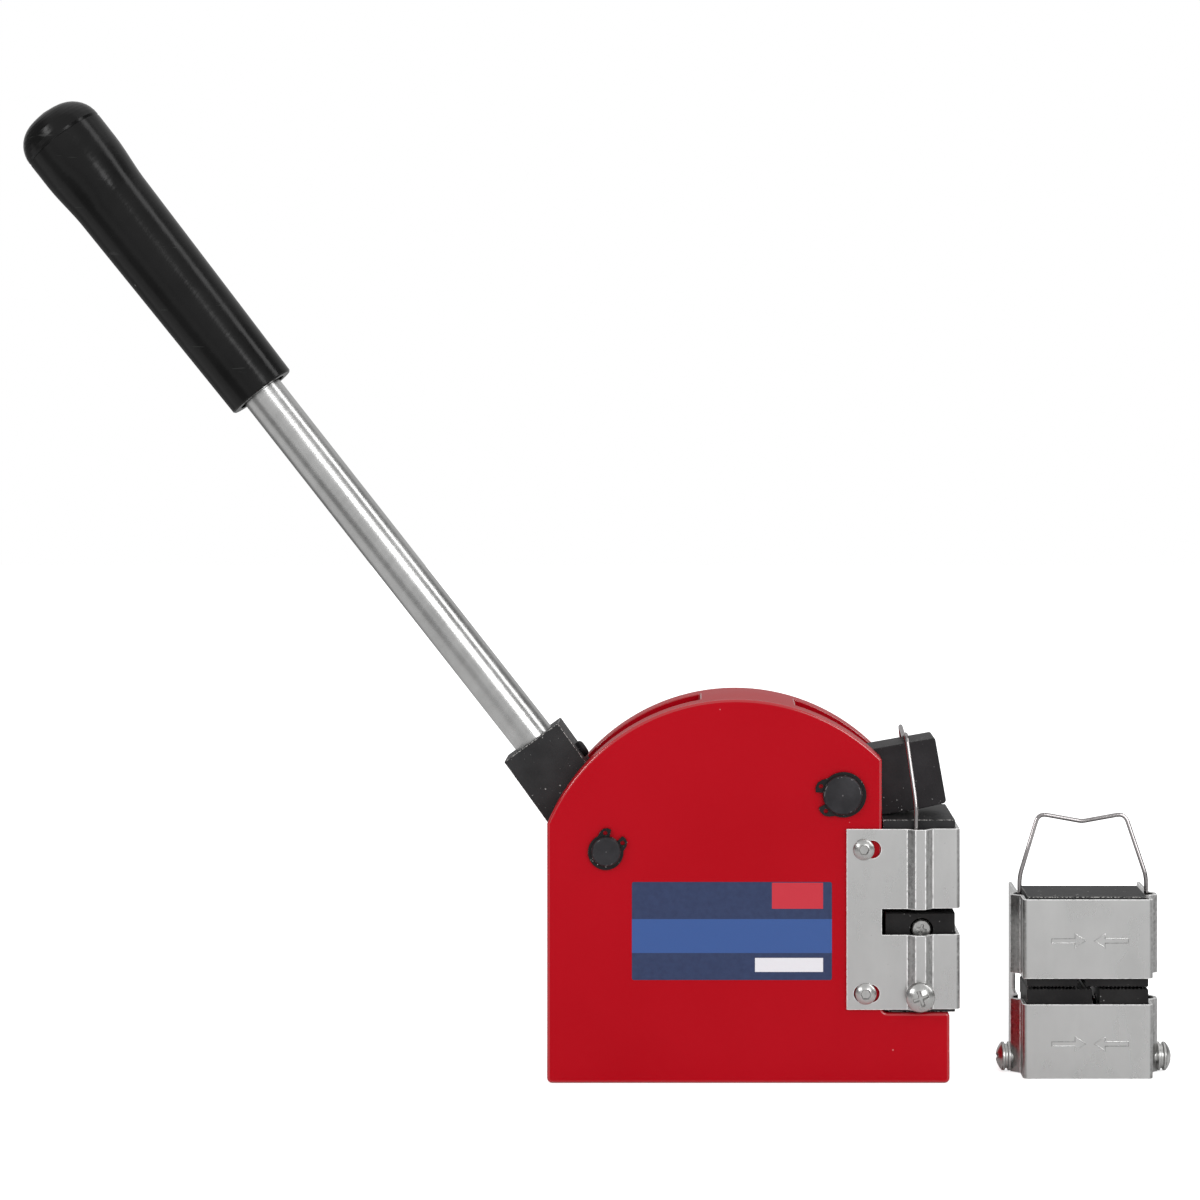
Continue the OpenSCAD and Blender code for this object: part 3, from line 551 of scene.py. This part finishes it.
RED = red_paint()
OXIDE = black_oxide("Black oxide", rgb(36, 34, 36), rgb(54, 52, 54), 0.42, wear=0.3)
BLOCK_STEEL = black_oxide("Block steel", rgb(40, 40, 41), rgb(58, 58, 59), 0.42, wear=0.9)
RING_STEEL = black_oxide("Ring steel", rgb(28, 27, 28), rgb(42, 41, 42), 0.35, wear=0.35)
JAW_STEEL = black_oxide("Jaw steel", rgb(26, 25, 26), rgb(44, 43, 43), 0.38, wear=0.35)
LEVER_PIN_STEEL = pin_steel("Lever pin steel", LEVER_PIN, LEVER_PIN_R)
ROCKER_PIN_STEEL = pin_steel("Rocker pin steel", ROCKER_PIN, ROCKER_PIN_R)
PLASTIC = black_moulding()
TUBE_STEEL = bright_steel("Plated tube", rgb(205, 205, 204), rgb(232, 232, 231), 0.2,
                          grain_turn=TUBE_TURN, grain_scale=260.0, stretch=0.02, relief=0.3)
ZINC_SHEET = bright_steel("Zinc sheet", rgb(228, 228, 227), rgb(240, 240, 239), 0.24,
                          grain_scale=90.0, stretch=0.3, relief=0.012,
                          edge_nicks_and_shading=CUT_ZINC_AND_HIGHLIGHT, bend_shade=BENT_ZINC_SHADE)
# The screws' edge colour is painted shade on their bevelled edges, round the recesses and rims.
ZINC_SCREW = bright_steel("Zinc screw", rgb(205, 205, 203), rgb(240, 240, 238), 0.24,
                          edge_nicks_and_shading=RECESS_SHADE)
WIRE = bright_steel("Drawn wire", rgb(160, 155, 155), rgb(205, 201, 201), 0.16)
LABEL_PRINT = printed_label()


# ---------- CAD nodes with rounded edges ----------

BODY_EDGE = 0.0011
BAR_EDGE = 0.0005
BLOCK_EDGE = 0.0003
SHEET_EDGE = 0.00028
SCREW_EDGE = 0.0002
RING_EDGE = 0.00018
FINE_EDGE = 0.00015
# Shares of BODY_EDGE, and the places where they hold
OUTLINE_SHARE, SLOT_SHARE, FOOT_SHARE, HOLE_SHARE = 1.0, 0.55, 0.35, 0.15
LEVER_HOLE_REACH, ROCKER_HOLE_REACH, CAGE_HOLE_REACH = 0.0065, 0.0085, 0.0035
OUTLINE_FROM_Y = 0.026
FOOT_BELOW_Z = 0.0005


def body_edges(middle):
    """Thick paint rounds the outline most, then the slots and the foot. Holes stay crisp."""
    from_lever = (Vector((middle.x, 0, middle.z)) - LEVER_PIN).length
    from_rocker = (Vector((middle.x, 0, middle.z)) - ROCKER_PIN).length
    if from_lever < LEVER_HOLE_REACH or from_rocker < ROCKER_HOLE_REACH:
        return HOLE_SHARE
    for x, z in CAGE_HOLES:
        if math.hypot(middle.x - x, middle.z - z) < CAGE_HOLE_REACH:
            return HOLE_SHARE
    if abs(middle.y) > OUTLINE_FROM_Y:
        return OUTLINE_SHARE
    return FOOT_SHARE if middle.z < FOOT_BELOW_Z else SLOT_SHARE


dressed("frame", RED, "red_paint", BODY_EDGE, segments=3, weigh=body_edges)
dressed("lever_block", BLOCK_STEEL, "black_oxide", BLOCK_EDGE)
dressed("rocker_arm", OXIDE, "black_oxide", BAR_EDGE)
for name in ("lower_block", "upper_block", "spare_lower_block", "spare_upper_block"):
    dressed(name, BLOCK_STEEL, "black_oxide", BLOCK_EDGE)
for spare in ("", "spare_"):
    for level in ("upper", "lower"):
        for side in ("left", "right"):
            dressed(f"{spare}{level}_jaw_{side}", JAW_STEEL, "jaw_steel", FINE_EDGE, segments=1)
    dressed(f"{spare}cage", ZINC_SHEET, "zinc_sheet", SHEET_EDGE)
    dressed(f"{spare}clamp_screws", ZINC_SCREW, "zinc_screws", SCREW_EDGE)
    dressed(f"{spare}clamp_washers", ZINC_SCREW, "zinc_screws", FINE_EDGE)
    dressed(f"{spare}spring_washers", ZINC_SCREW, "zinc_screws", FINE_EDGE)
dressed("cage_screws", ZINC_SCREW, "zinc_screws", SCREW_EDGE)
dressed("handle_screw", OXIDE, "black_oxide", SCREW_EDGE)
dressed("lever_circlips", RING_STEEL, "black_oxide", RING_EDGE)
dressed("rocker_circlips", RING_STEEL, "black_oxide", RING_EDGE)
dressed("lever_pin", LEVER_PIN_STEEL, "black_oxide", FINE_EDGE)
dressed("rocker_pin", ROCKER_PIN_STEEL, "black_oxide", FINE_EDGE)
for name in ("upper_tie_screw", "lower_tie_screw"):
    dressed(name, ZINC_SCREW, "zinc_screws", FINE_EDGE)


# ---------- CAD nodes that keep their own mesh ----------

KEPT = {
    ZINC_SCREW: ["spring_pin", "spring_eye"],
    WIRE: ["bail", "spare_bail"],
    TUBE_STEEL: ["handle_tube"],
    PLASTIC: ["handle_grip"],
}
for material, names in KEPT.items():
    for name in names:
        only(nodes[name])
        nodes[name].data.materials.clear()
        nodes[name].data.materials.append(material)
        bpy.ops.object.shade_smooth_by_angle(angle=ROUND_SMOOTH_BELOW)


# ---------- Springs ---------------------------------


def pressed_spring(node):
    """A spring between two jaws that ends on its seat, in drawn wire, on its body and with a mesh
    of its own.
    """
    piece = finish_mesh(merged_copy(node), WIRE, smooth=ROUND_SMOOTH_BELOW)
    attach(piece, nodes[node]["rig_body"])
    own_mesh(piece)


for level in ("upper", "lower"):
    pressed_spring(f"{level}_tie_spring")
    pressed_spring(f"spare_{level}_spring")
return_spring = finish_mesh(merged_copy("return_spring"), WIRE,
                            smooth=ROUND_SMOOTH_BELOW)
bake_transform(return_spring)


# ---------- The sticker on the side face ----------

STICKER_THICK = 0.00012
STICKER_CORNER = 0.0008


def sticker():
    """A thin plate with rounded corners that lies on the near side face."""
    low_x, high_x, low_z, high_z = LABEL
    bpy.ops.object.select_all(action="DESELECT")
    bpy.ops.mesh.primitive_plane_add(
        size=1, location=((low_x + high_x) / 2, SIDE_Y - STICKER_THICK, (low_z + high_z) / 2),
        rotation=(math.pi / 2, 0, 0))
    piece = bpy.context.object
    piece.name = "sticker"
    piece.scale = (high_x - low_x, high_z - low_z, 1)
    apply_place(piece)
    bpy.ops.object.mode_set(mode="EDIT")
    bpy.ops.mesh.select_all(action="SELECT")
    bpy.ops.mesh.bevel(offset=STICKER_CORNER, segments=5, affect="VERTICES")
    bpy.ops.object.mode_set(mode="OBJECT")
    apply_modifier(piece, "SOLIDIFY", thickness=STICKER_THICK, offset=-1)
    finish_mesh(piece, LABEL_PRINT)
    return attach(piece, "body")


sticker()


# ---------- Embossed arrows on the front plates ----------

ARROW_LENGTH = 0.0146
ARROW_HEAD = 0.0050
ARROW_WIDE = 0.0032
ARROW_SHAFT = 0.0011
ARROW_LINE = 0.0004
ARROW_PROUD = 0.0003
# Heights of the rows over the cage's foot, and of that foot over the floor in the set on the body
ARROW_ROWS = (("upper", 0.0566), ("lower", 0.0144))
CAGE_FOOT = 0.0302
ARROW_ASIDE = 0.0086
SPARE_ARROW_LEFT, SPARE_ARROW_RIGHT = 0.0079, 0.0094


def arrow(name, at, turn, body):
    """A raised outline arrow that points along X, then is turned about Z and placed."""
    half, neck = ARROW_LENGTH / 2, ARROW_LENGTH / 2 - ARROW_HEAD
    corners = [(half, 0), (neck, ARROW_WIDE), (neck, ARROW_SHAFT), (-half, ARROW_SHAFT),
               (-half, -ARROW_SHAFT), (neck, -ARROW_SHAFT), (neck, -ARROW_WIDE)]
    bpy.ops.object.select_all(action="DESELECT")
    bpy.ops.mesh.primitive_circle_add(vertices=len(corners), radius=half, fill_type="NGON")
    piece = bpy.context.object
    piece.name = name
    apply_place(piece)
    mesh = piece.data
    bpy.ops.object.mode_set(mode="EDIT")
    bpy.ops.mesh.select_mode(type="VERT")
    for i, (x, z) in enumerate(corners):
        bpy.ops.mesh.select_all(action="DESELECT")
        bpy.ops.object.mode_set(mode="OBJECT")
        mesh.vertices[i].select = True
        shift = Vector((x, z, 0)) - mesh.vertices[i].co
        bpy.ops.object.mode_set(mode="EDIT")
        bpy.ops.transform.translate(value=shift)
    bpy.ops.mesh.select_mode(type="FACE")
    bpy.ops.mesh.select_all(action="SELECT")
    bpy.ops.mesh.inset(thickness=ARROW_LINE)
    bpy.ops.mesh.delete(type="FACE")
    bpy.ops.object.mode_set(mode="OBJECT")
    apply_modifier(piece, "SOLIDIFY", thickness=ARROW_PROUD * 2, offset=0)
    apply_modifier(piece, "BEVEL", width=ARROW_PROUD * 0.7, segments=2,
                   limit_method="ANGLE", angle_limit=math.radians(40))
    piece.rotation_euler = (math.pi / 2, 0, turn)
    piece.location = at
    apply_place(piece)
    bpy.ops.object.mode_set(mode="EDIT")
    bpy.ops.mesh.select_all(action="SELECT")
    bpy.ops.mesh.normals_make_consistent(inside=False)
    bpy.ops.object.mode_set(mode="OBJECT")
    finish_mesh(piece, ZINC_SHEET)
    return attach(piece, body)


for level, height in ARROW_ROWS:
    arrow(f"spare_{level}_arrow_left", (SPARE_X - SPARE_ARROW_LEFT, SPARE_PLATE_Y, height), 0,
          "spare_set")
    arrow(f"spare_{level}_arrow_right", (SPARE_X + SPARE_ARROW_RIGHT, SPARE_PLATE_Y, height),
          math.pi, "spare_set")
    raised = height + CAGE_FOOT
    arrow(f"{level}_arrow_left", (PLATE_X, -ARROW_ASIDE, raised), -math.pi / 2, "body")
    arrow(f"{level}_arrow_right", (PLATE_X, ARROW_ASIDE, raised), math.pi / 2, "body")


# ---------- Camera ----------

camera = bpy.data.objects.new("Camera", bpy.data.cameras.new("Camera"))
bpy.context.scene.collection.objects.link(camera)
bpy.context.scene.camera = camera
camera.location = (-0.0197, -1.2475, 0.2747)
camera.rotation_euler = (math.pi / 2, 0, 0)
camera.data.lens = 90
camera.data.sensor_width = 36
camera.data.shift_x = -0.0833
camera.data.shift_y = -0.1596
camera.data.clip_end = 50


# ---------- Floor ----------

FLOOR_SIZE = 8
FLOOR_DROP = 0.0002
FLOOR_LIFT = 0.7
FLOOR_DARK, FLOOR_LIGHT = rgb(246, 246, 246), rgb(250, 250, 250)
# Tones that polished metal mirrors: the floor at large, near and far left, and its dark bands
MIRRORED_FLOOR, MIRRORED_NEAR = rgb(188, 188, 188), rgb(198, 198, 198)
MIRRORED_BAND = rgb(95, 95, 95)
FRONT_BAND_Y = -0.46

bpy.ops.object.select_all(action="DESELECT")
bpy.ops.mesh.primitive_plane_add(size=FLOOR_SIZE, location=(0, 0, -FLOOR_DROP))
floor = bpy.context.object
floor.name = "floor"
pale, tree, shader = new_material("Pale floor")
tone = mixed(tree, effect(tree, MOTTLE, Scale=2.0), FLOOR_DARK, FLOOR_LIGHT)
ray = add(tree, "LightPath").outputs
spot = add(tree, "SeparateXYZ", {"Vector": place(tree)}).outputs
near = spread(tree, spot["Y"], -0.22, -0.07)
left = spread(tree, spot["X"], -0.2, -0.45, 0.0, 0.8)
mirrored = mixed(tree, maths(tree, "MAXIMUM", near, left), MIRRORED_FLOOR, MIRRORED_NEAR)
across = maths(tree, "ABSOLUTE", maths(tree, "ADD", spot["Y"], -FRONT_BAND_Y))
front_band = spread(tree, across, 0.3, 0.2)
back_band = spread(tree, spot["Y"], 0.15, 0.3)
band = maths(tree, "MULTIPLY", left, maths(tree, "MAXIMUM", front_band, back_band))
mirrored = mixed(tree, band, mirrored, MIRRORED_BAND)
join(tree, shader, mixed(tree, ray["Is Glossy Ray"], tone, mirrored))
shader.inputs["Roughness"].default_value = 1.0
shader.inputs["Specular IOR Level"].default_value = 0.0
shader.inputs["Emission Color"].default_value = (1, 1, 1, 1)
tree.links.new(maths(tree, "MULTIPLY", ray["Is Camera Ray"], FLOOR_LIFT),
               shader.inputs["Emission Strength"])
floor.data.materials.append(pale)


# ---------- Lights and surroundings ----------

LIGHT_TARGET = Vector((0.02, 0, 0.12))
AMBIENT = 0.74
MIRRORED_FRONT = 0.56
MIRRORED_BACK = 0.5
MIRRORED_SIDES = 0.12
FRONT_TURNS_BACK = (-0.97, -0.85)
SIDES_BEGIN = (0.4, 0.75)


def softbox(name, at, size, power):
    """A rectangular area light that faces the object."""
    data = bpy.data.lights.new(name, "AREA")
    data.shape = "RECTANGLE"
    data.size, data.size_y = size
    data.energy = power
    light = bpy.data.objects.new(name, data)
    bpy.context.scene.collection.objects.link(light)
    light.location = at
    light.rotation_euler = (LIGHT_TARGET - Vector(at)).to_track_quat("-Z", "Y").to_euler()


softbox("key", (0.8, -1.6, 0.75), (0.75, 0.75), 6)
softbox("right", (1.5, -0.3, 1.4), (0.5, 1.6), 6)
softbox("top", (0.1, 0.3, 1.8), (1.6, 1.2), 1.2)
softbox("left", (-1.5, -1.2, 1.1), (0.6, 0.6), 6)

# White to the camera, dimmer as light and in reflections, and darkest mirrored at the sides
world = bpy.data.worlds.new("Studio")
bpy.context.scene.world = world
world.use_nodes = True
sky = world.node_tree
direction = add(sky, "SeparateXYZ", {"Vector": add(sky, "TexCoord").outputs["Generated"]})
ray = add(sky, "LightPath").outputs
glow = spread(sky, direction.outputs["Y"], *FRONT_TURNS_BACK, MIRRORED_FRONT, MIRRORED_BACK)
aside = maths(sky, "ABSOLUTE", direction.outputs["X"])
glow = maths(sky, "MINIMUM", glow, spread(sky, aside, *SIDES_BEGIN, 1.0, MIRRORED_SIDES))
lit = maths(sky, "MULTIPLY", ray["Is Diffuse Ray"], AMBIENT)
strength = maths(sky, "MAXIMUM", maths(sky, "MAXIMUM", lit, ray["Is Camera Ray"]),
                 maths(sky, "MULTIPLY", glow, ray["Is Glossy Ray"]))
backdrop = sky.nodes["Background"]
backdrop.inputs["Color"].default_value = (1, 1, 1, 1)
sky.links.new(strength, backdrop.inputs["Strength"])

view = bpy.context.scene.view_settings
view.view_transform = "Standard"
view.look = "None"
view.exposure = 0
view.gamma = 1
